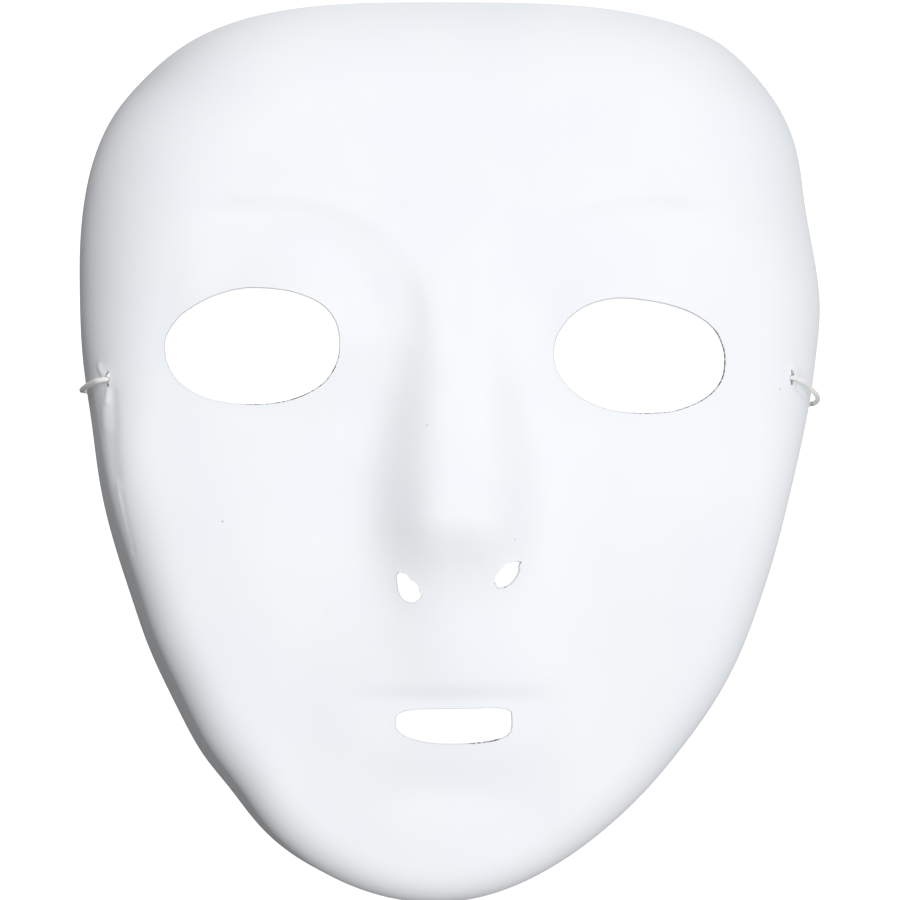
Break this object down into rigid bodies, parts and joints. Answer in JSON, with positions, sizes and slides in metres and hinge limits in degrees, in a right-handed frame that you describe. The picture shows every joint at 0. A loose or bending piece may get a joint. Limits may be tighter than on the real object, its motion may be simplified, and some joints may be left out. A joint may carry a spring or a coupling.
{
  "type": "plain full-face mask",
  "caption": "Plain white full-face mask moulded from thin plastic, with cut eye, nostril and mouth holes and a thin round elastic knotted through its side walls.",
  "frame": {"origin": "on the table, under the middle of the mask shell's outline", "axes": "+X across the face to the viewer's right, +Y up the face towards the forehead, +Z out of the face; the mask lies face up"},
  "size_m": [0.1771, 0.2098, 0.063],
  "materials": {
    "white_plastic": "satin white, smooth outside, a little duller inside",
    "white_elastic": "matte braided"
  },
  "bodies": {
    "root": {"mask_shell": "white_plastic", "elastic_cord": "white_elastic", "knot_left": "white_elastic", "knot_right": "white_elastic"}
  },
  "joints": []
}
